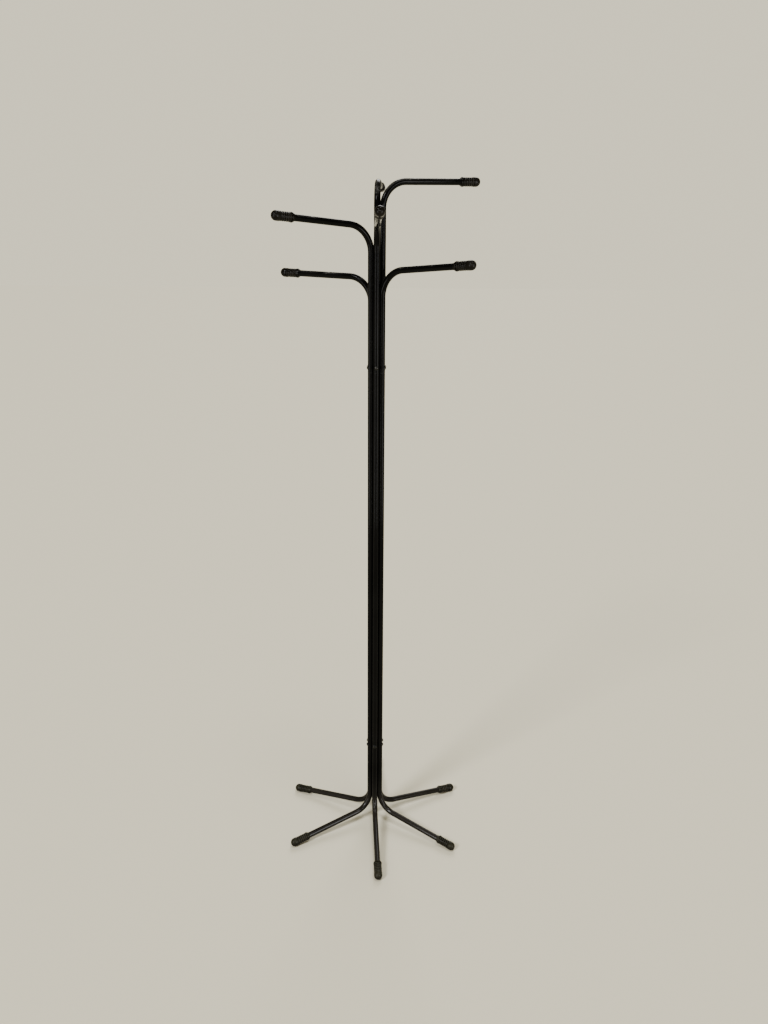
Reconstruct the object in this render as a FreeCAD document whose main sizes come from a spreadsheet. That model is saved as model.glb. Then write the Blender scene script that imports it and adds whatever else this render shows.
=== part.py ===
"""Standing coat rack: six bent steel tubes in a round bundle, with ribbed plastic caps.

Frame: +Z up, the origin on the floor on the post's axis, -Y towards the front tube.
Lengths are in millimetres and angles in degrees.
"""
import FreeCAD, Part
import math
import os
import Sketcher

# The driving dimensions, grouped by what they shape.
DIMENSIONS = {
    # post: six tubes of one size, laid round a core of nearly the same size
    "tube_count": 6,
    "tube_diameter": 15,
    "tube_wall": 1.2,
    "tube_gap": 0.2,
    "lower_seam_height": 247,
    "middle_length": 1000,
    "seam_gap": 0.4,
    # hooks: bent outwards at three levels, their heights measured at the cap's dome centre
    "hook_reach": 265,
    "top_hook_height": 1686,
    "hook_bend_radius": 60,
    "hook_rise_angle": 2.8,
    # legs
    "leg_reach": 260,
    "leg_bend_radius": 50,
    "leg_fall_angle": 6,
    # ribbed cap, from its mouth to its dome
    "cap_clearance": 0.1,
    "cap_end_gap": 1,
    "bore_depth": 38,
    "collar_wall": 1.2,
    "collar_length": 4,
    "flange_wall": 3.3,
    "flange_length": 3,
    "barrel_wall": 1.7,
    "barrel_length": 28,
    "rib_height": 1.1,
    "rib_radius": 1.6,
    "rib_count": 5,
    "rib_pitch": 5.3,
    "first_rib_offset": 3.2,
    "band_wall": 3.2,
    "band_length": 7,
    "floor_flat_depth": 0.5,
    # joints between the tube lengths
    "spigot_length": 80,
    "spigot_wall": 1.5,
    "spigot_clearance": 0.1,
    "core_length": 46,
    "core_clearance": 0.1,
    "screw_seam_distance": 12,
    "screw_diameter": 4,
    "screw_hole_clearance": 0.3,
    "screw_thread_clearance": 0.05,
    "screw_tip_radius": 4.2,
    "screw_tip_gap": 0.4,
    "screw_seat_gap": 0.05,
    "head_diameter": 9.5,
    "head_rim": 0.9,
    "head_height": 2.8,
    "recess_width": 1.1,
    "recess_span": 4.8,
    "recess_depth": 1.5,
}

# Each tube line: its name, how far its hook sits below the top one, and how far its hook and
# its leg are turned about their own tube from straight outwards (anticlockwise from above).
TUBE_LINES = (
    ("front", 100, 2.3, 3.3),
    ("front_right", 197, -7.6, -4.4),
    ("back_right", 3, -5.9, -3.5),
    ("back", 0, -1.5, 0),
    ("back_left", 210, 3.5, 5.8),
    ("front_left", 100, 4.6, 1.8),
)

# Sizes that follow from the driving dimensions, as expressions.
BUNDLE_RADIUS = "(Dims.tube_diameter + Dims.tube_gap)"
TUBE_BORE = "(Dims.tube_diameter - 2 * Dims.tube_wall)"
UPPER_SEAM = "(Dims.lower_seam_height + Dims.middle_length)"
SPIGOT_DIAMETER = f"({TUBE_BORE} - 2 * Dims.spigot_clearance)"
CAP_BORE_RADIUS = "(Dims.tube_diameter / 2 + Dims.cap_clearance)"
CAP_RADIUS = f"({CAP_BORE_RADIUS} + Dims.band_wall)"
FLANGE_END = "(Dims.collar_length + Dims.flange_length)"
BAND_START = f"({FLANGE_END} + Dims.barrel_length)"
DOME_CENTRE = f"({BAND_START} + Dims.band_length)"
TUBE_TO_DOME = f"({DOME_CENTRE} - Dims.bore_depth + Dims.cap_end_gap)"
FOOT_DOME_HEIGHT = f"({CAP_RADIUS} - Dims.floor_flat_depth)"
HEAD_SEAT = f"({BUNDLE_RADIUS} + Dims.tube_diameter / 2 + Dims.screw_seat_gap)"
CLEARANCE_HOLE = "(Dims.screw_diameter + 2 * Dims.screw_hole_clearance)"

doc = FreeCAD.newDocument("coat_rack")
sheet = doc.addObject("Spreadsheet::Sheet", "Dims")


def writeSheet():
    """Give every driving dimension a row of its own: its name, its value and its alias."""
    values = dict(DIMENSIONS)
    for name, hookDrop, hookTurn, legTurn in TUBE_LINES:
        values[f"hook_drop_{name}"] = hookDrop
        values[f"hook_turn_{name}"] = hookTurn
        values[f"leg_turn_{name}"] = legTurn
    for row, (alias, value) in enumerate(values.items(), start=1):
        sheet.set(f"A{row}", alias)
        sheet.set(f"B{row}", str(value))
        sheet.setAlias(f"B{row}", alias)
    doc.recompute()


def newBody(label):
    body = doc.addObject("PartDesign::Body", label)
    body.Label = label
    return body


def newSketch(body, name, role, offset=None):
    """A sketch on one of the body's own origin planes, moved by a placement expression."""
    sketch = body.newObject("Sketcher::SketchObject", name)
    plane = next(item for item in body.Origin.OriginFeatures if item.Role == role)
    sketch.AttachmentSupport = [(plane, "")]
    sketch.MapMode = "FlatFace"
    if offset:
        sketch.setExpression("AttachmentOffset", offset)
    return sketch


def evaluate(expression):
    """The present value of an expression, which a sketch's first shape starts from."""
    result = sheet.evalExpression(expression)
    return float(getattr(result, "Value", result))


def bind(sketch, name, kind, target, expression):
    """Add one dimension to a sketch and bind it to an expression."""
    value = evaluate(expression)
    if kind == "Angle":
        value = math.radians(value)
    index = sketch.addConstraint(Sketcher.Constraint(kind, *target, value))
    sketch.renameConstraint(index, name)
    sketch.setExpression(f"Constraints.{name}", expression)


def addCircle(sketch, name, diameter, height=None):
    """A circle on the sketch's origin, or a given height up its vertical axis."""
    start = FreeCAD.Vector(0, evaluate(height) if height else 0, 0)
    circle = Part.Circle(start, FreeCAD.Vector(0, 0, 1), evaluate(diameter) / 2)
    index = sketch.addGeometry(circle, False)
    bind(sketch, name, "Diameter", (index,), diameter)
    if height:
        sketch.addConstraint(Sketcher.Constraint("PointOnObject", index, 3, -2))
        bind(sketch, name + "Height", "DistanceY", (-1, 1, index, 3), height)
    else:
        sketch.addConstraint(Sketcher.Constraint("Coincident", index, 3, -1, 1))


def addOutline(sketch, points, domeAxis=None):
    """Straight lines through points given as pairs of expressions, closed at the end.

    With domeAxis, -1 for the horizontal axis and -2 for the vertical one, the line that
    runs from the second-last point to the last is an arc centred on that axis instead.
    """
    corners = [FreeCAD.Vector(evaluate(x), evaluate(y), 0) for x, y in points]
    count = len(points)
    edges = []
    ends = []
    for number, start in enumerate(corners):
        end = corners[(number + 1) % count]
        if domeAxis and number == count - 2:
            edges.append(sketch.addGeometry(domeArc(start, end, domeAxis), False))
            # an arc runs anticlockwise, so the one on the horizontal axis starts at its apex
            ends.append((2, 1) if domeAxis == -1 else (1, 2))
        else:
            edges.append(sketch.addGeometry(Part.LineSegment(start, end), False))
            ends.append((1, 2))
    for number, (x, y) in enumerate(points):
        bind(sketch, f"x{number}", "DistanceX", (-1, 1, edges[number], ends[number][0]), x)
        bind(sketch, f"y{number}", "DistanceY", (-1, 1, edges[number], ends[number][0]), y)
    for number in range(count):
        after = (number + 1) % count
        joined = (edges[number], ends[number][1], edges[after], ends[after][0])
        sketch.addConstraint(Sketcher.Constraint("Coincident", *joined))
    if domeAxis:
        sketch.addConstraint(Sketcher.Constraint("PointOnObject", edges[-2], 3, domeAxis))


def domeArc(rim, apex, axis):
    """The arc from a dome's rim to its apex, centred on the axis that the apex lies on."""
    across, along = (rim.y, apex.x - rim.x) if axis == -1 else (rim.x, apex.y - rim.y)
    radius = (across ** 2 + along ** 2) / (2 * along)
    shift = FreeCAD.Vector(radius, 0, 0) if axis == -1 else FreeCAD.Vector(0, radius, 0)
    centre = apex - shift
    circle = Part.Circle(centre, FreeCAD.Vector(0, 0, 1), radius)
    first, last = (circle.parameter(point) for point in (apex, rim))
    return Part.ArcOfCircle(circle, min(first, last), max(first, last))


def addPad(body, name, sketch, length):
    pad = body.newObject("PartDesign::Pad", name)
    pad.Profile = sketch
    pad.SideType = "Symmetric"
    pad.setExpression("Length", length)
    doc.recompute()
    return pad


def addPocket(body, name, sketch, length, side="One side", reverse=False):
    """Cut a sketch out of the body, and make sure that it takes something away."""
    before = body.Shape.Volume
    pocket = body.newObject("PartDesign::Pocket", name)
    pocket.Profile = sketch
    pocket.SideType = side
    pocket.Reversed = reverse
    pocket.setExpression("Length", length)
    doc.recompute()
    if not body.Shape.Volume < before:
        raise RuntimeError(f"{body.Label}: {name} cuts nothing")
    return pocket


def addRevolution(body, name, sketch, axis):
    turned = body.newObject("PartDesign::Revolution", name)
    turned.Profile = sketch
    turned.ReferenceAxis = (sketch, [axis])
    turned.Angle = 360
    doc.recompute()
    return turned


def addRing(body, originals, name="AroundPost"):
    """Repeat features once for each tube, evenly about the body's vertical axis."""
    ring = body.newObject("PartDesign::PolarPattern", name)
    ring.Originals = originals
    upright = next(item for item in body.Origin.OriginFeatures if item.Role == "Z_Axis")
    ring.Axis = (upright, [""])
    ring.Angle = 360
    ring.setExpression("Occurrences", "Dims.tube_count")
    body.Tip = ring
    doc.recompute()
    return ring


def azimuth(number):
    """The direction of a tube line from the post's axis; the first one faces -Y."""
    return f"({number} * 360 / Dims.tube_count - 90)"


def placeAtTube(body, number, height):
    """Stand a body on its tube line, with its own X axis pointing away from the post."""
    way = azimuth(number)
    base = f"vector({BUNDLE_RADIUS} * cos({way}); {BUNDLE_RADIUS} * sin({way}); {height})"
    body.setExpression("Placement", f"placement({base}; rotation(vector(0; 0; 1); {way}))")


def makeMiddleTube(name, number):
    body = newBody(f"middle_tube_{name}")
    sketch = newSketch(body, "TubeSection", "XY_Plane")
    addCircle(sketch, "outside", "Dims.tube_diameter")
    addCircle(sketch, "inside", TUBE_BORE)
    addPad(body, "Tube", sketch, "Dims.middle_length - Dims.seam_gap")
    placeAtTube(body, number, "Dims.lower_seam_height + Dims.middle_length / 2")
    return body


def bendSizes(kind, name):
    """A hook's or a leg's bend radius, slope, dome level, throw and length after the bend."""
    if kind == "hook":
        slope = "Dims.hook_rise_angle"
        level = f"(Dims.top_hook_height - Dims.hook_drop_{name})"
    else:
        slope = "Dims.leg_fall_angle"
        level = FOOT_DOME_HEIGHT
    radius = f"Dims.{kind}_bend_radius"
    throw = f"(Dims.{kind}_reach - {BUNDLE_RADIUS} - {CAP_RADIUS})"
    run = f"(({throw} - {radius} * (1 - sin({slope}))) / cos({slope}))"
    return radius, slope, level, throw, run


def makeBentTube(kind, name, number):
    """A tube with one bend: up and out for a hook, down and out for a leg."""
    radius, slope, level, throw, run = bendSizes(kind, name)
    if kind == "hook":
        up = 1
        seam = f"({UPPER_SEAM} + Dims.seam_gap / 2)"
        height = f"({level} - {seam})"
    else:
        up = -1
        seam = "(Dims.lower_seam_height - Dims.seam_gap / 2)"
        height = f"({seam} - {level})"
    riser = f"({height} - {run} * sin({slope}) - {radius} * cos({slope}))"
    armLength = f"({run} - {TUBE_TO_DOME})"
    body = newBody(f"{kind}_tube_{name}")

    turn = f"placement(vector(0; 0; 0); rotation(vector(0; 1; 0); Dims.{kind}_turn_{name}))"
    path = newSketch(body, "BendPath", "XZ_Plane", turn)
    bend, angle = evaluate(radius), math.radians(evaluate(slope))
    first = FreeCAD.Vector(0, up * evaluate(riser), 0)
    centre = first + FreeCAD.Vector(bend, 0, 0)
    last = centre + FreeCAD.Vector(-bend * math.sin(angle), up * bend * math.cos(angle), 0)
    along = FreeCAD.Vector(math.cos(angle), up * math.sin(angle), 0)
    circle = Part.Circle(centre, FreeCAD.Vector(0, 0, 1), bend)
    # an arc runs anticlockwise, so a hook's starts at its arm and a leg's at its riser
    if kind == "hook":
        sweep = (math.pi / 2 + angle, math.pi)
        nearEnd, farEnd = 2, 1
    else:
        sweep = (math.pi, 3 * math.pi / 2 - angle)
        nearEnd, farEnd = 1, 2
    straight = path.addGeometry(Part.LineSegment(FreeCAD.Vector(), first), False)
    arc = path.addGeometry(Part.ArcOfCircle(circle, *sweep), False)
    arm = path.addGeometry(Part.LineSegment(last, last + along * evaluate(armLength)), False)
    path.addConstraint(Sketcher.Constraint("Coincident", straight, 1, -1, 1))
    path.addConstraint(Sketcher.Constraint("PointOnObject", straight, 2, -2))
    path.addConstraint(Sketcher.Constraint("Tangent", straight, 2, arc, nearEnd))
    path.addConstraint(Sketcher.Constraint("Tangent", arc, farEnd, arm, 1))
    bind(path, "bendRadius", "Radius", (arc,), radius)
    bind(path, "riser", "DistanceY", (-1, 1, straight, 2), riser if up > 0 else f"-{riser}")
    bind(path, "armSlope", "Angle", (arm,), slope if up > 0 else f"-{slope}")
    bind(path, "armLength", "Distance", (arm, 1, arm, 2), armLength)

    section = newSketch(body, "TubeSection", "XY_Plane")
    addCircle(section, "outside", "Dims.tube_diameter")
    addCircle(section, "inside", TUBE_BORE)
    pipe = body.newObject("PartDesign::AdditivePipe", "Tube")
    pipe.Profile = section
    pipe.Spine = path
    doc.recompute()

    hole = newSketch(body, "ScrewHole", "YZ_Plane")
    fromEnd = "(Dims.screw_seam_distance - Dims.seam_gap / 2)"
    addCircle(hole, "hole", CLEARANCE_HOLE, fromEnd if up > 0 else f"-{fromEnd}")
    addPocket(body, "ScrewWay", hole, "2 * Dims.tube_diameter", "Symmetric")
    placeAtTube(body, number, seam)
    return body


def makeCap(kind, name, number):
    """A ribbed cap pushed over a tube's end; its own Z axis runs from mouth to dome."""
    label = f"{kind}_cap_{name}" if kind == "hook" else f"foot_cap_{name}"
    body = newBody(label if kind == "hook" else f"foot_cap_moulding_{name}")
    outline = newSketch(body, "CapOutline", "XZ_Plane")
    collar = f"{CAP_BORE_RADIUS} + Dims.collar_wall"
    flange = f"{CAP_BORE_RADIUS} + Dims.flange_wall"
    barrel = f"{CAP_BORE_RADIUS} + Dims.barrel_wall"
    addOutline(outline, (
        ("0", "0"),
        (collar, "0"),
        (collar, "Dims.collar_length"),
        (flange, "Dims.collar_length"),
        (flange, FLANGE_END),
        (barrel, FLANGE_END),
        (barrel, BAND_START),
        (CAP_RADIUS, BAND_START),
        (CAP_RADIUS, DOME_CENTRE),
        ("0", f"{DOME_CENTRE} + {CAP_RADIUS}"),
    ), domeAxis=-2)
    addRevolution(body, "CapBlank", outline, "V_Axis")

    rib = body.newObject("PartDesign::AdditiveTorus", "Rib")
    plane = next(item for item in body.Origin.OriginFeatures if item.Role == "XY_Plane")
    rib.AttachmentSupport = [(plane, "")]
    rib.MapMode = "FlatFace"
    rib.setExpression("Radius1", f"{barrel} + Dims.rib_height - Dims.rib_radius")
    rib.setExpression("Radius2", "Dims.rib_radius")
    rib.setExpression("AttachmentOffset.Base.z", f"{FLANGE_END} + Dims.first_rib_offset")
    ribs = body.newObject("PartDesign::LinearPattern", "Ribs")
    ribs.Originals = [rib]
    along = next(item for item in body.Origin.OriginFeatures if item.Role == "Z_Axis")
    ribs.Direction = (along, [""])
    ribs.Mode = "Spacing"
    ribs.setExpression("Occurrences", "Dims.rib_count")
    ribs.setExpression("Offset", "Dims.rib_pitch")
    body.Tip = ribs
    doc.recompute()

    mouth = newSketch(body, "CapMouth", "XY_Plane")
    addCircle(mouth, "bore", f"2 * {CAP_BORE_RADIUS}")
    addPocket(body, "CapBore", mouth, "Dims.bore_depth", reverse=True)
    placeCap(body, kind, name, number)
    if kind == "hook":
        return body
    foot = doc.addObject("Part::Cut", label)
    foot.Label = label
    foot.Base = body
    foot.Tool = floor
    return foot


def placeCap(body, kind, name, number):
    """Set a cap on its tube's line of slope, with its dome centre at the reach and level."""
    radius, slope, level, throw, run = bendSizes(kind, name)
    way = azimuth(number)
    out = f"({way} + Dims.{kind}_turn_{name})"
    sign = "-" if kind == "hook" else "+"
    mouth = f"({throw} - {DOME_CENTRE} * cos({slope}))"
    x = f"{BUNDLE_RADIUS} * cos({way}) + {mouth} * cos({out})"
    y = f"{BUNDLE_RADIUS} * sin({way}) + {mouth} * sin({out})"
    z = f"{level} {sign} {DOME_CENTRE} * sin({slope})"
    turn = f"rotation(vector(0; 0; 1); {out}) * rotation(vector(0; 1; 0); 90 {sign} {slope})"
    body.setExpression("Placement", f"placement(vector({x}; {y}; {z}); {turn})")


def makeFloor():
    """The block below floor level that flattens each foot cap's underside."""
    block = doc.addObject("Part::Box", "Floor")
    block.setExpression("Length", "3 * Dims.leg_reach")
    block.setExpression("Width", "3 * Dims.leg_reach")
    block.setExpression("Height", f"2 * {CAP_RADIUS}")
    corner = "vector(-1.5 * Dims.leg_reach; -1.5 * Dims.leg_reach; -2 * " + CAP_RADIUS + ")"
    block.setExpression("Placement", f"placement({corner}; rotation(vector(0; 0; 1); 0))")
    return block


def makeSpigot(level, seam, side, name, number):
    """The sleeve inside two tube ends, drilled through where the joint's screw passes."""
    body = newBody(f"{level}_spigot_{name}")
    section = newSketch(body, "SpigotSection", "XY_Plane")
    addCircle(section, "outside", SPIGOT_DIAMETER)
    addCircle(section, "inside", f"{SPIGOT_DIAMETER} - 2 * Dims.spigot_wall")
    addPad(body, "Sleeve", section, "Dims.spigot_length")
    hole = newSketch(body, "ScrewHole", "YZ_Plane")
    addCircle(hole, "hole", CLEARANCE_HOLE, f"{side} * Dims.screw_seam_distance")
    addPocket(body, "ScrewWay", hole, "2 * Dims.tube_diameter", "Symmetric")
    placeAtTube(body, number, seam)
    return body


def placeOnAxis(body, seam, side):
    """Stand a body on the post's axis at the height of a joint's screws."""
    height = f"{seam} + {side} * Dims.screw_seam_distance"
    turn = f"rotation(vector(0; 0; 1); {azimuth(0)})"
    body.setExpression("Placement", f"placement(vector(0; 0; {height}); {turn})")


def makeCore(level, seam, side):
    """The plug in the middle of the bundle, with a blind tapped hole facing each tube."""
    body = newBody(f"{level}_core_plug")
    diameter = f"(2 * {BUNDLE_RADIUS} - Dims.tube_diameter - 2 * Dims.core_clearance)"
    section = newSketch(body, "CoreSection", "XY_Plane")
    addCircle(section, "outside", diameter)
    addPad(body, "Core", section, "Dims.core_length")
    start = "vector(0; 0; Dims.screw_tip_radius - Dims.screw_tip_gap)"
    offset = f"placement({start}; rotation(vector(0; 0; 1); 0))"
    hole = newSketch(body, "TappedHole", "YZ_Plane", offset)
    addCircle(hole, "hole", "Dims.screw_diameter + 2 * Dims.screw_thread_clearance")
    drilled = addPocket(body, "Tapping", hole, diameter, reverse=True)
    addRing(body, [drilled])
    placeOnAxis(body, seam, side)
    return body


def makeScrews(level, seam, side):
    """One dome-headed screw for each tube, all on one level, pointing at the post's axis."""
    body = newBody(f"{level}_joint_screws")
    body.AllowCompound = True
    outline = newSketch(body, "ScrewOutline", "XZ_Plane")
    tip = "Dims.screw_tip_radius"
    shank = "Dims.screw_diameter / 2"
    head = "Dims.head_diameter / 2"
    addOutline(outline, (
        (tip, "0"),
        (tip, shank),
        (HEAD_SEAT, shank),
        (HEAD_SEAT, head),
        (f"{HEAD_SEAT} + Dims.head_rim", head),
        (f"{HEAD_SEAT} + Dims.head_height", "0"),
    ), domeAxis=-1)
    turned = addRevolution(body, "Screw", outline, "H_Axis")

    crown = f"vector(0; 0; {HEAD_SEAT} + Dims.head_height)"
    offset = f"placement({crown}; rotation(vector(0; 0; 1); 0))"
    recess = newSketch(body, "Recess", "YZ_Plane", offset)
    near, far = "Dims.recess_width / 2", "Dims.recess_span / 2"
    quarter = ((near, far), (near, near), (far, near))
    cross = []
    for acrossSign, upSign, order in ((1, 1, 1), (1, -1, -1), (-1, -1, 1), (-1, 1, -1)):
        for across, up in quarter[::order]:
            cross.append((f"{acrossSign} * {across}", f"{upSign} * {up}"))
    addOutline(recess, cross)
    driven = addPocket(body, "CrossRecess", recess, "Dims.recess_depth")
    addRing(body, [turned, driven])
    placeOnAxis(body, seam, side)
    return body


def checkModel(pieces):
    """Stop unless every object is sound and every piece is valid, closed and not empty."""
    for item in doc.Objects:
        if "Invalid" in item.State or "Error" in item.State:
            raise RuntimeError(f"{item.Label} failed: {item.State}")
    for piece in pieces:
        shape = piece.Shape
        if shape.isNull() or not shape.isValid() or not shape.Solids:
            raise RuntimeError(f"{piece.Label} has no valid solid")
        if not all(solid.isClosed() for solid in shape.Solids):
            raise RuntimeError(f"{piece.Label} isn't closed")


writeSheet()
floor = makeFloor()
pieces = []
for number, line in enumerate(TUBE_LINES):
    name = line[0]
    pieces.append(makeBentTube("hook", name, number))
    pieces.append(makeMiddleTube(name, number))
    pieces.append(makeBentTube("leg", name, number))
    pieces.append(makeCap("hook", name, number))
    pieces.append(makeCap("leg", name, number))
    pieces.append(makeSpigot("upper", UPPER_SEAM, 1, name, number))
    pieces.append(makeSpigot("lower", "Dims.lower_seam_height", -1, name, number))
for level, seam, side in (("upper", UPPER_SEAM, 1), ("lower", "Dims.lower_seam_height", -1)):
    pieces.append(makeCore(level, seam, side))
    pieces.append(makeScrews(level, seam, side))
doc.recompute()
checkModel(pieces)

os.makedirs("parts", exist_ok=True)
for piece in pieces:
    piece.Shape.exportStep(f"parts/{piece.Label}.step")
    print(f"{piece.Label}: {len(piece.Shape.Solids)} solid(s), {piece.Shape.Volume:.0f} mm3")
print(f"{len(pieces)} pieces written")
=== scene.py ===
import math

import bpy
from mathutils import Matrix, Vector


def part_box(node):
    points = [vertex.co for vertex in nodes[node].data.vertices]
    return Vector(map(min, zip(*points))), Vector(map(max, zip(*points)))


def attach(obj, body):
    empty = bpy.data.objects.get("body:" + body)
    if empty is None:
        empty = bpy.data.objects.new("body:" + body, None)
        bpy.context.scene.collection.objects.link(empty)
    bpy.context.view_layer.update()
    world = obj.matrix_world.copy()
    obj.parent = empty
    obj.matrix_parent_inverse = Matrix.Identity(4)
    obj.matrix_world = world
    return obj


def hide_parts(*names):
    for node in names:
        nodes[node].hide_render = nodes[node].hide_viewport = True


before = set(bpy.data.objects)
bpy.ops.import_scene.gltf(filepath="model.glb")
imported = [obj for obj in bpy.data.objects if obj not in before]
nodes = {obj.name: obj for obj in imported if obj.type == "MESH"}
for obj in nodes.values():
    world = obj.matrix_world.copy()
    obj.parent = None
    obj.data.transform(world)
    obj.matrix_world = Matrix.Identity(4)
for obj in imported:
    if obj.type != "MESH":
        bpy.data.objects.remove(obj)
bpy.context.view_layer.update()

lineNames = ["front", "front_right", "back_right", "back", "back_left", "front_left"]
mm = 0.001
smoothAngle = math.radians(32)        # edges flatter than this are shaded smooth
mostly = 0.9                          # how much of a normal lies along the axis its face looks along


# modelling helpers

def startPlate(name, sides, radius):
    # a round plate round the Z axis, ready to grow upwards ring by ring
    bpy.ops.object.select_all(action="DESELECT")
    bpy.ops.mesh.primitive_circle_add(vertices=sides, radius=radius * mm, fill_type="NGON")
    piece = bpy.context.object
    piece.name = name
    bpy.ops.object.mode_set(mode="EDIT")
    bpy.ops.mesh.select_mode(type="FACE")
    bpy.ops.mesh.select_all(action="SELECT")
    return piece


def grow(ring, radius, height):
    # extrude the growing end on to its next ring, given as radius and height
    rise = (0, 0, (height - ring[1]) * mm)
    bpy.ops.mesh.extrude_region_move(TRANSFORM_OT_translate={"value": rise})
    size = radius / ring[0]
    bpy.ops.transform.resize(value=(size, size, 1), center_override=(0, 0, height * mm))
    return radius, height


def growDome(ring, apex, steps):
    # round the growing end off to a pole at the apex height
    height = apex - ring[1]
    ball = (ring[0] ** 2 + height ** 2) / (2 * height)
    centre = apex - ball
    start = math.atan2(ring[1] - centre, ring[0])
    for step in range(1, steps):
        angle = start + (math.pi / 2 - start) * step / steps
        ring = grow(ring, ball * math.cos(angle), centre + ball * math.sin(angle))
    bpy.ops.mesh.extrude_region_move(TRANSFORM_OT_translate={"value": (0, 0, (apex - ring[1]) * mm)})
    bpy.ops.mesh.merge(type="CENTER")


def selectFaces(piece, test):
    # select in edit mode the faces that pass a test on centre and normal, in millimetres
    bpy.ops.mesh.select_all(action="DESELECT")
    bpy.ops.object.mode_set(mode="OBJECT")
    for face in piece.data.polygons:
        face.select = test(face.center / mm, face.normal)
    bpy.ops.object.mode_set(mode="EDIT")


def softenEdges(piece, width, segments, angle):
    # a small radius on every edge sharper than the angle
    bevel = piece.modifiers.new("softEdges", "BEVEL")
    bevel.width = width * mm
    bevel.segments = segments
    bevel.limit_method = "ANGLE"
    bevel.angle_limit = math.radians(angle)
    bpy.ops.object.modifier_apply(modifier=bevel.name)


def standAlong(direction, origin, spin=0.0):
    # the matrix that stands a piece's Z axis along a direction
    turn = direction.to_track_quat("Z", "Y").to_matrix().to_4x4()
    return Matrix.Translation(origin) @ turn @ Matrix.Rotation(spin, 4, "Z")


def copyPiece(mould, name, matrix, node):
    # a copy with its own mesh, placed in the mesh, that stands for a CAD node
    piece = bpy.data.objects.new(name, mould.data.copy())
    bpy.context.scene.collection.objects.link(piece)
    piece.data.transform(matrix)
    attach(piece, "root")
    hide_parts(node)
    return piece


# ribbed caps: lengths in millimetres, heights from the mouth

cap = {
    "sides": 64,
    "boreRadius": 7.6,
    "boreDepth": 38.0,
    "tubeInside": 37.0,
    "collarRadius": 8.8,
    "collarEnd": 4.0,
    "flangeRadius": 10.9,
    "flangeEnd": 7.0,
    "barrelRadius": 9.3,
    "ribCount": 5,
    "ribPitch": 5.3,
    "firstRib": 10.2,
    "ribRadius": 1.6,
    "ribHeight": 1.1,
    "ribSteps": 8,
    "bandStart": 35.0,
    "domeCentre": 42.0,
    "domeRadius": 10.8,
    "domeSteps": 16,
    "edgeRadius": 0.3,
    "edgeSegments": 2,
    "edgeAngle": 45,
    "smoothDepth": 0.42,
}


def makeCapMould():
    # one cap, standing on its mouth with its dome on top
    mould = startPlate("capMould", cap["sides"], cap["collarRadius"])
    ring = (cap["collarRadius"], 0.0)
    ring = grow(ring, cap["collarRadius"], cap["collarEnd"])
    ring = grow(ring, cap["flangeRadius"], cap["collarEnd"])
    ring = grow(ring, cap["flangeRadius"], cap["flangeEnd"])
    ring = grow(ring, cap["barrelRadius"], cap["flangeEnd"])
    core = cap["barrelRadius"] + cap["ribHeight"] - cap["ribRadius"]
    reach = math.acos((cap["barrelRadius"] - core) / cap["ribRadius"])
    for rib in range(cap["ribCount"]):
        middle = cap["firstRib"] + rib * cap["ribPitch"]
        for step in range(cap["ribSteps"] + 1):
            angle = reach * (2 * step / cap["ribSteps"] - 1)
            radius = core + cap["ribRadius"] * math.cos(angle)
            ring = grow(ring, radius, middle + cap["ribRadius"] * math.sin(angle))
    ring = grow(ring, cap["barrelRadius"], cap["bandStart"])
    ring = grow(ring, cap["domeRadius"], cap["bandStart"])
    ring = grow(ring, cap["domeRadius"], cap["domeCentre"])
    growDome(ring, cap["domeCentre"] + cap["domeRadius"], cap["domeSteps"])

    # the mouth, the one face that looks down at height 0, is hollowed out for the tube
    selectFaces(mould, lambda centre, normal: normal.z < -mostly and abs(centre.z) < 0.01)
    bpy.ops.mesh.inset(thickness=(cap["collarRadius"] - cap["boreRadius"]) * mm)
    bpy.ops.mesh.extrude_region_move(TRANSFORM_OT_translate={"value": (0, 0, cap["boreDepth"] * mm)})
    bpy.ops.object.mode_set(mode="OBJECT")
    softenEdges(mould, cap["edgeRadius"], cap["edgeSegments"], cap["edgeAngle"])
    bpy.ops.object.shade_smooth_by_angle(angle=smoothAngle)
    markGrooves(mould)
    return mould


def markGrooves(mould):
    # how far down each point lies between the ribs, for the dust, the painted shade in the grooves
    # and the painted highlight on the crests in the material
    depth = mould.data.attributes.new("grooveDepth", "FLOAT", "POINT")
    for vertex, item in zip(mould.data.vertices, depth.data):
        radius = vertex.co.xy.length / mm
        ribbed = cap["flangeEnd"] < vertex.co.z / mm < cap["bandStart"]
        sunk = 1 - (radius - cap["barrelRadius"]) / cap["ribHeight"]
        item.value = min(max(sunk, 0.0), 1.0) if ribbed else cap["smoothDepth"]


def tubeEnd(node):
    # centre and direction of the flat end that a cap is pushed over
    far = max((vertex.co for vertex in node.data.vertices), key=lambda spot: spot.xy.length)
    outward = Vector((far.x, far.y, 0)).normalized()
    nearEnd = far.xy.length - 20 * mm
    centre, direction, area = Vector(), Vector(), 0.0
    for face in node.data.polygons:
        if face.normal.dot(outward) > 0.98 and face.center.xy.length > nearEnd:
            centre += face.center * face.area
            direction += face.normal * face.area
            area += face.area
    return centre / area, direction.normalized()


def pushOnCap(mould, tube, node):
    centre, direction = tubeEnd(nodes[tube])
    mouth = centre - direction * cap["tubeInside"] * mm
    return copyPiece(mould, camel(node), standAlong(direction, mouth), node)


def flattenFoot(piece):
    # cut the dome off level with the floor
    bpy.ops.object.select_all(action="DESELECT")
    bpy.context.view_layer.objects.active = piece
    piece.select_set(True)
    bpy.ops.object.mode_set(mode="EDIT")
    bpy.ops.mesh.select_all(action="SELECT")
    bpy.ops.mesh.bisect(plane_co=(0, 0, 0), plane_no=(0, 0, 1), use_fill=True, clear_inner=True)
    bpy.ops.object.mode_set(mode="OBJECT")
    bpy.ops.object.shade_smooth_by_angle(angle=smoothAngle)


def camel(words):
    first, *others = words.split("_")
    return first + "".join(word.capitalize() for word in others)


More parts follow.
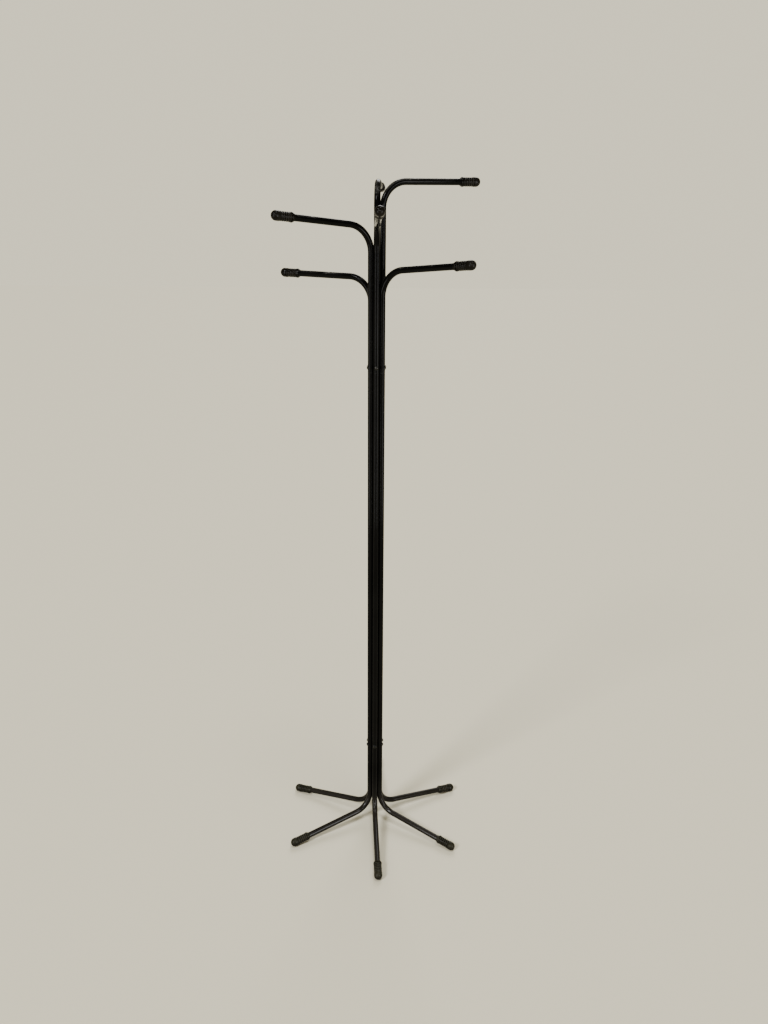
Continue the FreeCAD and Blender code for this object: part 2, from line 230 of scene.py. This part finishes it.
capMould = makeCapMould()
capPieces = []
for line in lineNames:
    hookCap = pushOnCap(capMould, f"hook_tube_{line}", f"hook_cap_{line}")
    footCap = pushOnCap(capMould, f"leg_tube_{line}", f"foot_cap_{line}")
    flattenFoot(footCap)
    capPieces += [hookCap, footCap]
bpy.data.objects.remove(capMould)
print("caps pushed on:", len(capPieces))


# joint screws: lengths in millimetres, heights from the tip

screw = {
    "sides": 40,
    "tipPlace": 4.2,
    "tipRadius": 1.5,
    "tipLength": 0.5,
    "shankRadius": 2.0,
    "shankLength": 18.55,
    "headRadius": 4.75,
    "headRim": 0.9,
    "headHeight": 2.8,
    "domeSteps": 10,
    "recessWidth": 1.1,
    "recessSpan": 4.8,
    "recessDepth": 1.5,
    "recessTaper": 0.6,
    "edgeRadius": 0.15,
    "edgeSegments": 2,
    "edgeAngle": 25,
    "turnStep": 37.0,
}


def makeRecessCutter(crown):
    # a cross that narrows towards its foot
    bpy.ops.object.select_all(action="DESELECT")
    bpy.ops.mesh.primitive_cube_add(size=screw["recessWidth"] * mm, location=(0, 0, 0))
    cutter = bpy.context.object
    bpy.ops.object.mode_set(mode="EDIT")
    selectFaces(cutter, lambda centre, normal: abs(normal.z) < mostly)
    arm = (screw["recessSpan"] - screw["recessWidth"]) / 2
    bpy.ops.mesh.extrude_faces_move(TRANSFORM_OT_shrink_fatten={"value": arm * mm})
    selectFaces(cutter, lambda centre, normal: normal.z < -mostly)
    half = screw["recessWidth"] / 2
    bpy.ops.transform.translate(value=(0, 0, (half - screw["recessDepth"]) * mm))
    taper = screw["recessTaper"]
    bpy.ops.transform.resize(value=(taper, taper, 1), center_override=(0, 0, 0))
    bpy.ops.mesh.select_all(action="SELECT")
    bpy.ops.transform.translate(value=(0, 0, crown * mm))
    bpy.ops.object.mode_set(mode="OBJECT")
    return cutter


def makeScrewMould():
    # one dome-headed screw, standing on its tip
    mould = startPlate("screwMould", screw["sides"], screw["tipRadius"])
    ring = (screw["tipRadius"], 0.0)
    seat = screw["shankLength"]
    ring = grow(ring, screw["shankRadius"], screw["tipLength"])
    ring = grow(ring, screw["shankRadius"], seat)
    ring = grow(ring, screw["headRadius"], seat)
    ring = grow(ring, screw["headRadius"], seat + screw["headRim"])
    growDome(ring, seat + screw["headHeight"], screw["domeSteps"])
    bpy.ops.object.mode_set(mode="OBJECT")
    softenEdges(mould, screw["edgeRadius"], screw["edgeSegments"], screw["edgeAngle"])
    cutter = makeRecessCutter(seat + screw["headHeight"])
    bpy.context.view_layer.objects.active = mould
    recess = mould.modifiers.new("crossRecess", "BOOLEAN")
    recess.operation = "DIFFERENCE"
    recess.solver = "EXACT"
    recess.object = cutter
    bpy.ops.object.modifier_apply(modifier=recess.name)
    bpy.data.objects.remove(cutter)
    bpy.ops.object.select_all(action="DESELECT")
    mould.select_set(True)
    bpy.ops.object.shade_smooth_by_angle(angle=smoothAngle)
    return mould


screwMould = makeScrewMould()
screwPieces = []
for level in ("upper", "lower"):
    low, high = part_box(f"{level}_joint_screws")
    height = (low.z + high.z) / 2
    for number, line in enumerate(lineNames):
        # the lines stand evenly round the post, the first one facing -Y
        angle = math.radians(360 / len(lineNames) * number - 90)
        out = Vector((math.cos(angle), math.sin(angle), 0))
        spot = out * screw["tipPlace"] * mm + Vector((0, 0, height))
        spin = math.radians(screw["turnStep"] * len(screwPieces))
        matrix = standAlong(out, spot, spin)
        name = camel(f"{level}_screw_{line}")
        node = f"{level}_joint_screws"
        screwPieces.append(copyPiece(screwMould, name, matrix, node))
bpy.data.objects.remove(screwMould)
print("screws driven in:", len(screwPieces))


# shader helpers

class Level:
    # a node's output, used in sums as if it were a number
    def __init__(self, paint, socket):
        self.paint = paint
        self.socket = socket

    def sum(self, operation, first, second):
        return self.paint.node("ShaderNodeMath", {"operation": operation}, {0: first, 1: second})

    def __add__(self, other):
        return self.sum("ADD", self, other)

    def __sub__(self, other):
        return self.sum("SUBTRACT", self, other)

    def __rsub__(self, other):
        return self.sum("SUBTRACT", other, self)

    def __mul__(self, other):
        return self.sum("MULTIPLY", self, other)

    __radd__ = __add__
    __rmul__ = __mul__


class Paint:
    # one material, built node by node
    def __init__(self, name):
        self.material = bpy.data.materials.new(name)
        self.material.use_nodes = True
        self.tree = self.material.node_tree
        self.surface = self.tree.nodes["Principled BSDF"]

    def node(self, kind, settings=None, inputs=None, output=0):
        made = self.tree.nodes.new(kind)
        for key, value in (settings or {}).items():
            setattr(made, key, value)
        for key, value in (inputs or {}).items():
            self.plug(made.inputs[key], value)
        return Level(self, made.outputs[output])

    def plug(self, socket, value):
        if isinstance(value, Level):
            self.tree.links.new(value.socket, socket)
        else:
            socket.default_value = value

    def finish(self, inputs):
        for key, value in inputs.items():
            self.plug(self.surface.inputs[key], value)
        return self.material

    def place(self):
        return self.node("ShaderNodeTexCoord", output="Object")

    def noise(self, place, scale, detail):
        inputs = {"Vector": place, "Scale": scale, "Detail": detail}
        return self.node("ShaderNodeTexNoise", None, inputs)

    def stretch(self, place, scale):
        # a pattern's own scale along each axis
        return self.node("ShaderNodeMapping", None, {"Vector": place, "Scale": scale})

    def between(self, value, low, high, toLow=0.0, toHigh=1.0):
        # value's range from low to high, eased onto another range
        inputs = {"Value": value, 1: low, 2: high, 3: toLow, 4: toHigh}
        return self.node("ShaderNodeMapRange", {"interpolation_type": "SMOOTHSTEP"}, inputs)

    def mix(self, share, first, second):
        inputs = {0: share, 6: first, 7: second}
        return self.node("ShaderNodeMix", {"data_type": "RGBA"}, inputs, 2)

    def bump(self, height, distance, strength):
        inputs = {"Height": height, "Distance": distance, "Strength": strength}
        return self.node("ShaderNodeBump", None, inputs)

    def axis(self, vector, letter):
        return self.node("ShaderNodeSeparateXYZ", None, {0: vector}, "XYZ".index(letter))


# materials: heights and depths in metres

enamel = {
    "black": (0.0008, 0.0008, 0.0009, 1),
    "haze": (0.0022, 0.0021, 0.0020, 1),
    # the dust colour, which on the tops of the legs is also a painted warm reflection of the floor
    "dust": (0.088, 0.074, 0.056, 1),
    "bareSteel": (0.30, 0.29, 0.27, 1),
    "cloudScale": 9.0,
    "peelScale": 150.0,
    "peelDepth": 0.00005,
    "wipeScale": (260, 260, 9),
    "rubScale": 22.0,
    "chipScale": 210.0,
    "dustAndSheenTop": 0.13,
    "dustAndSheenFull": 0.05,
    "dustAndSheenShare": 0.12,
    "wornBottom": 1.36,
    "wornFade": 0.05,
    "rubShare": 0.10,
    "chipShare": 0.7,
    "chipMetal": 0.8,
    "chipDepth": 0.8,
    "smoothest": 0.07,
    "dullest": 0.13,
    "gloss": 0.06,
    "glossTop": 0.16,
    "glossFull": 0.06,
    "coatLeast": 0.07,
    "coatWiped": 0.20,
    "coatRoughness": 0.09,
}


def makeEnamel():
    paint = Paint("glossBlackEnamel")
    place = paint.place()
    height = paint.axis(place, "Z")
    upward = paint.axis(paint.node("ShaderNodeNewGeometry", output="Normal"), "Z")
    cloud = paint.noise(place, enamel["cloudScale"], 4.0)
    peel = paint.noise(place, enamel["peelScale"], 1.0)
    # hands and cloths have wiped the paint lengthwise
    upright = paint.stretch(place, enamel["wipeScale"])
    wiped = paint.noise(upright, 1.0, 3.0)
    # floor dust lies on what faces up near the floor; on the tops of the legs its warm tone is also
    # a painted reflection of the floor
    low = paint.between(height, enamel["dustAndSheenTop"], enamel["dustAndSheenFull"])
    facingUp = paint.between(upward, -0.35, 0.75)
    patchy = paint.between(cloud + wiped * 0.3, 0.35, 0.8, 0.5, 1.0)
    dustAndSheen = low * (facingUp * patchy)
    colour = paint.mix(paint.between(cloud, 0.35, 0.7), enamel["black"], enamel["haze"])
    colour = paint.mix(dustAndSheen * enamel["dustAndSheenShare"], colour, enamel["dust"])
    # hangers have rubbed the tops of the bends grey and chipped them in places
    high = paint.between(height, enamel["wornBottom"], enamel["wornBottom"] + enamel["wornFade"])
    facing = paint.between(upward, 0.25, 0.8)
    rubs = paint.noise(place, enamel["rubScale"], 3.0)
    rubbed = high * facing * paint.between(rubs, 0.42, 0.66)
    chips = paint.noise(place, enamel["chipScale"], 5.0)
    bare = rubbed * paint.between(chips, 0.60, 0.64)
    colour = paint.mix(rubbed * enamel["rubShare"], colour, enamel["bareSteel"])
    colour = paint.mix(bare * enamel["chipShare"], colour, enamel["bareSteel"])
    rough = paint.between(cloud, 0.3, 0.75, enamel["smoothest"], enamel["dullest"])
    rough = rough + wiped * 0.08 + dustAndSheen * 0.06 + rubbed * 0.10
    # a clear gloss is left on the legs only
    shiny = paint.between(height, enamel["glossTop"], enamel["glossFull"])
    return paint.finish({
        "Base Color": colour,
        "Roughness": rough,
        "Metallic": bare * enamel["chipMetal"],
        "Normal": paint.bump(peel - bare * enamel["chipDepth"], enamel["peelDepth"], 0.5),
        "Specular IOR Level": enamel["gloss"],
        "Coat Weight": shiny * (wiped * enamel["coatWiped"] + enamel["coatLeast"]),
        "Coat Roughness": enamel["coatRoughness"],
    })


plastic = {
    "dark": (0.0016, 0.0013, 0.0009, 1),
    "pale": (0.0046, 0.0039, 0.0029, 1),
    # the crests' colour, a painted highlight on the ribs
    "crestHighlightColour": (0.023, 0.0195, 0.0145, 1),
    # dust colour on the feet; laid only on the crests, it also paints them paler as a painted
    # highlight
    "dust": (0.110, 0.108, 0.062, 1),
    "cloudScale": 45.0,
    "grainScale": 700.0,
    "grainDepth": 0.00003,
    "crestHighlightShare": 0.6,
    # how much painted shade darkens the grooves
    "grooveShadeShare": 0.85,
    "dustAndSheenTop": 0.10,
    "dustAndSheenFull": 0.04,
    "dustAndSheenShare": 0.18,
    "smoothest": 0.15,
    "dullest": 0.24,
    "gloss": 0.075,
}


def makePlastic():
    paint = Paint("ribbedCapPlastic")
    place = paint.place()
    height = paint.axis(place, "Z")
    upward = paint.axis(paint.node("ShaderNodeNewGeometry", output="Normal"), "Z")
    groove = paint.node("ShaderNodeAttribute", {"attribute_name": "grooveDepth"}, output="Fac")
    cloud = paint.noise(place, plastic["cloudScale"], 3.0)
    grain = paint.noise(place, plastic["grainScale"], 3.0)
    # the crests are painted paler than the grooves between them, a painted highlight on the ribs
    colour = paint.mix(paint.between(cloud, 0.35, 0.7), plastic["dark"], plastic["pale"])
    paintedCrestHighlight = paint.between(groove, 0.55, 0.0) * paint.between(cloud, 0.3, 0.6, 0.4, 1.0)
    colour = paint.mix(paintedCrestHighlight * plastic["crestHighlightShare"], colour, plastic["crestHighlightColour"])
    # the grooves are painted darker, a painted shade between the ribs
    paintedGrooveShade = paint.between(groove, 0.5, 0.9)
    colour = paint.mix(paintedGrooveShade * plastic["grooveShadeShare"], colour, plastic["dark"])
    # dust on the feet, kept off the grooves so that they stay dark as painted shade while the dusty
    # crests read as a painted highlight
    low = paint.between(height, plastic["dustAndSheenTop"], plastic["dustAndSheenFull"])
    facingUp = paint.between(upward, -0.4, 0.8)
    patchy = paint.between(cloud + grain * 0.4, 0.5, 0.95, 0.5, 1.0)
    dustAndSheen = low * (facingUp * patchy) * paint.between(groove, 0.8, 0.3, 0.06, 1.0)
    colour = paint.mix(dustAndSheen * plastic["dustAndSheenShare"], colour, plastic["dust"])
    rough = paint.between(cloud, 0.3, 0.7, plastic["smoothest"], plastic["dullest"])
    return paint.finish({
        "Base Color": colour,
        "Roughness": rough + grain * 0.06 + dustAndSheen * 0.10,
        "Normal": paint.bump(grain + cloud * 0.3, plastic["grainDepth"], 0.5),
        "Specular IOR Level": plastic["gloss"],
    })


blackenedSteel = {
    "dark": (0.009, 0.009, 0.009, 1),
    "pale": (0.024, 0.023, 0.021, 1),
    "grainScale": 1400.0,
    "cloudScale": 180.0,
    "grainDepth": 0.00003,
    "metal": 0.9,
}


def makeBlackenedSteel():
    paint = Paint("blackenedScrewSteel")
    place = paint.place()
    grain = paint.noise(place, blackenedSteel["grainScale"], 3.0)
    cloud = paint.noise(place, blackenedSteel["cloudScale"], 2.0)
    tint = paint.between(cloud, 0.4, 0.65)
    return paint.finish({
        "Base Color": paint.mix(tint, blackenedSteel["dark"], blackenedSteel["pale"]),
        "Roughness": 0.24 + grain * 0.16,
        "Metallic": blackenedSteel["metal"],
        "Normal": paint.bump(grain, blackenedSteel["grainDepth"], 0.5),
    })


# the hidden steel of the spigots and plugs is painted dark, a painted shade for the metal seen
# through the seams between tube ends
darkenedSeamSteel = {
    "dark": (0.05, 0.049, 0.047, 1),
    "pale": (0.09, 0.088, 0.084, 1),
    "streakScale": (900, 900, 30),
    "cloudScale": 60.0,
    "streakDepth": 0.00003,
}


def makePlainSteel():
    paint = Paint("plainSteel")
    place = paint.place()
    streak = paint.noise(paint.stretch(place, darkenedSeamSteel["streakScale"]), 1.0, 3.0)
    cloud = paint.noise(place, darkenedSeamSteel["cloudScale"], 3.0)
    tint = paint.between(cloud, 0.35, 0.7)
    return paint.finish({
        "Base Color": paint.mix(tint, darkenedSeamSteel["dark"], darkenedSeamSteel["pale"]),
        "Roughness": 0.3 + streak * 0.2,
        "Metallic": 1.0,
        "Normal": paint.bump(streak, darkenedSeamSteel["streakDepth"], 0.4),
    })


enamelPaint = makeEnamel()
capPlastic = makePlastic()
screwSteel = makeBlackenedSteel()
plainSteel = makePlainSteel()


def dress(piece, material):
    piece.data.materials.clear()
    piece.data.materials.append(material)


for name, node in nodes.items():
    if "_tube_" in name:
        dress(node, enamelPaint)
    elif "_cap_" in name:
        dress(node, capPlastic)
    elif "screws" in name:
        dress(node, screwSteel)
    else:
        dress(node, plainSteel)
for piece in capPieces:
    dress(piece, capPlastic)
for piece in screwPieces:
    dress(piece, screwSteel)
print("materials made")


# stage, lights and camera

studio = {
    "floorSize": 900.0,
    "floorColour": (0.98, 0.92, 0.72, 1),
    "skyColour": (1.065, 0.99, 0.745, 1),
    "skyStrength": 1.0,
    "roomStrength": 0.30,
}


def makeFloor():
    bpy.ops.mesh.primitive_plane_add(size=studio["floorSize"], location=(0, 0, 0))
    floor = bpy.context.object
    floor.name = "studioFloor"
    paint = Paint("paleFloor")
    speck = paint.noise(paint.place(), 60.0, 3.0)
    floor.data.materials.append(paint.finish({
        "Base Color": studio["floorColour"],
        "Roughness": 0.75 + speck * 0.15,
    }))
    # what the softboxes light: all but the floor
    allButFloor = bpy.data.collections.new("allButFloor")
    allButFloor.objects.link(floor)
    allButFloor.collection_objects[0].light_linking.link_state = "EXCLUDE"
    return allButFloor


def makeSky():
    world = bpy.data.worlds.new("studioSky")
    bpy.context.scene.world = world
    world.use_nodes = True
    tree = world.node_tree
    room = tree.nodes["Background"]
    room.inputs["Color"].default_value = studio["skyColour"]
    room.inputs["Strength"].default_value = studio["roomStrength"]
    # the backdrop is bright, while the room that the gloss mirrors is dimmer
    backdrop = tree.nodes.new("ShaderNodeBackground")
    backdrop.inputs["Color"].default_value = studio["skyColour"]
    backdrop.inputs["Strength"].default_value = studio["skyStrength"]
    path = tree.nodes.new("ShaderNodeLightPath")
    choose = tree.nodes.new("ShaderNodeMixShader")
    tree.links.new(path.outputs["Is Camera Ray"], choose.inputs[0])
    tree.links.new(room.outputs[0], choose.inputs[1])
    tree.links.new(backdrop.outputs[0], choose.inputs[2])
    tree.links.new(choose.outputs[0], tree.nodes["World Output"].inputs["Surface"])


suns = {
    "window": {"from": (-2.0, -2.2, 2.4), "spread": 14.0, "strength": 1.72},
    "wallGlow": {"from": (0.2, 2.0, 1.6), "spread": 30.0, "strength": 1.10},
    "ceilingGlow": {"from": (0.5, -0.6, 3.0), "spread": 14.0, "strength": 0.76},
}
# softboxes that only draw streaks on the rack and leave the floor even
softboxes = {
    "leftSoftbox": {"place": (-2.0, -2.1, 1.0), "aim": (0, 0, 1.0), "size": (0.7, 2.2), "power": 46},
    "rightSoftbox": {"place": (2.1, -2.0, 1.0), "aim": (0, 0, 1.0), "size": (0.8, 2.2), "power": 60},
    "frontStrip": {"place": (0.0, -4.2, 2.2), "aim": (0, 0, 1.6), "size": (4.0, 0.25), "power": 85},
}


def makeLamp(name, kind, place, aim):
    light = bpy.data.lights.new(name, kind)
    holder = bpy.data.objects.new(name, light)
    bpy.context.scene.collection.objects.link(holder)
    way = Vector(aim) - Vector(place)
    turn = way.to_track_quat("-Z", "Y").to_matrix().to_4x4()
    holder.matrix_world = Matrix.Translation(place) @ turn
    return holder


def makeSun(name, sun):
    light = makeLamp(name, "SUN", sun["from"], (0, 0, 0)).data
    light.angle = math.radians(sun["spread"])
    light.energy = sun["strength"]


def makeSoftbox(name, box, allButFloor):
    holder = makeLamp(name, "AREA", box["place"], box["aim"])
    holder.data.shape = "RECTANGLE"
    holder.data.size, holder.data.size_y = box["size"]
    holder.data.energy = box["power"]
    holder.visible_camera = False
    holder.light_linking.receiver_collection = allButFloor


view = {
    "away": 1.864,
    "height": 1.447,
    "side": 0.9,
    "turn": 0.27,
    "tiltDown": 16.4,
    "roll": 0.41,
    "lens": 27.07,
    "sensorWidth": 36,
}


def makeCamera():
    camera = bpy.data.cameras.new("camera")
    camera.lens = view["lens"]
    camera.sensor_width = view["sensorWidth"]
    holder = bpy.data.objects.new("camera", camera)
    bpy.context.scene.collection.objects.link(holder)
    side = math.radians(view["side"])
    spot = Vector((view["away"] * math.sin(side), -view["away"] * math.cos(side), view["height"]))
    turn = Matrix.Rotation(math.radians(view["turn"]), 4, "Z")
    tilt = Matrix.Rotation(math.radians(90 - view["tiltDown"]), 4, "X")
    roll = Matrix.Rotation(math.radians(view["roll"]), 4, "Z")
    holder.matrix_world = Matrix.Translation(spot) @ turn @ tilt @ roll
    bpy.context.scene.camera = holder


allButFloor = makeFloor()
makeSky()
for name, sun in suns.items():
    makeSun(name, sun)
for name, box in softboxes.items():
    makeSoftbox(name, box, allButFloor)
makeCamera()
print("stage, lights and camera set")
